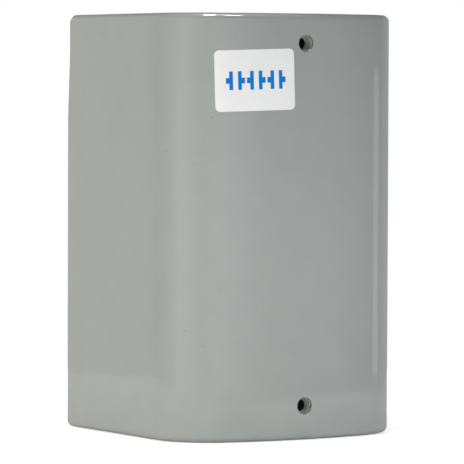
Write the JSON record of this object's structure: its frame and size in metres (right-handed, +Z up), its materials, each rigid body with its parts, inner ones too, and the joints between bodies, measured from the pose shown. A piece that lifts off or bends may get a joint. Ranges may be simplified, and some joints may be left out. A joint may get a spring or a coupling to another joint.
{
  "type": "magnetic motor starter",
  "caption": "Wall-mounted magnetic motor starter: a drawn grey steel cover over a contactor and a thermal overload relay",
  "frame": {"origin": "centre of the back (wall) face, at the enclosure's mid height", "axes": "+X to the right seen from the front, +Y into the wall (the front panel faces -Y), +Z up"},
  "size_m": [0.18, 0.1674, 0.286],
  "materials": {
    "grey_enamel": "gloss enamel with fine orange peel",
    "base_enamel": "gloss enamel",
    "label_film": "satin film",
    "zinc_steel": "bright zinc plate",
    "spring_steel": "phosphated spring steel",
    "black_oxide": "black-oxide steel",
    "black_moulding": "moulded phenolic",
    "grey_moulding": "moulded thermoset",
    "white_moulding": "moulded nylon",
    "laminated_steel": "stacked electrical steel",
    "coil_tape": "amber tape over copper winding",
    "silver_copper": "copper alloy with silver tips",
    "brass_zinc": "plated brass",
    "reset_blue": "gloss",
    "ground_green": "green passivated steel",
    "wire_red": "insulated wire"
  },
  "bodies": {
    "starter": {"enclosure_base": "base_enamel", "mounting_plate": "zinc_steel", "plate_screw_upper": "zinc_steel", "plate_screw_lower": "zinc_steel", "arc_cover_screw_upper": "zinc_steel", "arc_cover_screw_lower": "zinc_steel", "clip_nut_upper": "spring_steel", "clip_nut_lower": "spring_steel", "return_spring_upper": "spring_steel", "return_spring_lower": "spring_steel", "reset_spring": "spring_steel", "ground_screw": "ground_green", "contactor_base": "black_moulding", "arc_cover": "black_moulding", "relay_base": "black_moulding", "contactor_housing": "grey_moulding", "relay_cover": "grey_moulding", "coil_bobbin": "white_moulding", "magnet_core": "laminated_steel", "coil_winding": "coil_tape", "line_contact_1": "silver_copper", "load_contact_1": "silver_copper", "heater_element_1": "silver_copper", "relay_terminal_1": "silver_copper", "line_screw_1": "brass_zinc", "load_screw_1": "brass_zinc", "relay_screw_1": "brass_zinc", "line_contact_2": "silver_copper", "load_contact_2": "silver_copper", "heater_element_2": "silver_copper", "relay_terminal_2": "silver_copper", "line_screw_2": "brass_zinc", "load_screw_2": "brass_zinc", "relay_screw_2": "brass_zinc", "line_contact_3": "silver_copper", "load_contact_3": "silver_copper", "heater_element_3": "silver_copper", "relay_terminal_3": "silver_copper", "line_screw_3": "brass_zinc", "load_screw_3": "brass_zinc", "relay_screw_3": "brass_zinc", "coil_terminal_upper": "brass_zinc", "coil_terminal_lower": "brass_zinc", "control_wire_relay": "wire_red", "control_wire_line": "wire_red"},
    "cover": {"cover": "grey_enamel", "nameplate_label": "label_film"},
    "cover_screw_upper": {"cover_screw_upper": "black_oxide"},
    "cover_screw_lower": {"cover_screw_lower": "black_oxide"},
    "contact_carrier": {"armature": "laminated_steel", "contact_carrier": "white_moulding", "contact_spring_1": "spring_steel", "contact_spring_2": "spring_steel", "contact_spring_3": "spring_steel"},
    "contact_bridges": {"contact_bridge_1": "silver_copper", "contact_bridge_2": "silver_copper", "contact_bridge_3": "silver_copper"},
    "reset_button": {"reset_button": "reset_blue"},
    "current_dial": {"current_dial": "white_moulding"},
    "trip_bar": {"trip_bar": "white_moulding"}
  },
  "joints": [
    {"name": "cover_slide", "type": "slide", "parent": "starter", "child": "cover", "axis": [0, -1, 0], "range_m": [0, 0.2]},
    {"name": "cover_screw_upper_turn", "type": "hinge", "parent": "cover", "child": "cover_screw_upper", "pos_m": [0, -0.158, 0.123], "axis": [0, -1, 0], "continuous": true},
    {"name": "cover_screw_lower_turn", "type": "hinge", "parent": "cover", "child": "cover_screw_lower", "pos_m": [0, -0.158, -0.12], "axis": [0, -1, 0], "continuous": true},
    {"name": "contact_carrier_slide", "type": "slide", "parent": "starter", "child": "contact_carrier", "axis": [0, 1, 0], "range_m": [0, 0.0055], "stiffness_N_per_m": 900, "springref_m": -0.005, "deforming": ["return_spring_upper", "return_spring_lower"]},
    {"name": "contact_bridges_slide", "type": "slide", "parent": "contact_carrier", "child": "contact_bridges", "axis": [0, -1, 0], "range_m": [0, 0.0013], "deforming": ["contact_spring_1", "contact_spring_2", "contact_spring_3"]},
    {"name": "reset_button_press", "type": "slide", "parent": "starter", "child": "reset_button", "axis": [0, 1, 0], "range_m": [0, 0.003], "stiffness_N_per_m": 400, "springref_m": -0.002, "deforming": ["reset_spring"]},
    {"name": "current_dial_turn", "type": "hinge", "parent": "starter", "child": "current_dial", "pos_m": [0.01, -0.084, -0.048], "axis": [0, -1, 0], "range_deg": [-135, 135]},
    {"name": "trip_bar_slide", "type": "slide", "parent": "starter", "child": "trip_bar", "axis": [0, -1, 0], "range_m": [0, 0.002], "stiffness_N_per_m": 200}
  ],
  "couplings": [
    {"joint": "contact_bridges_slide", "follows": "contact_carrier_slide", "ratio": 0.236}
  ]
}
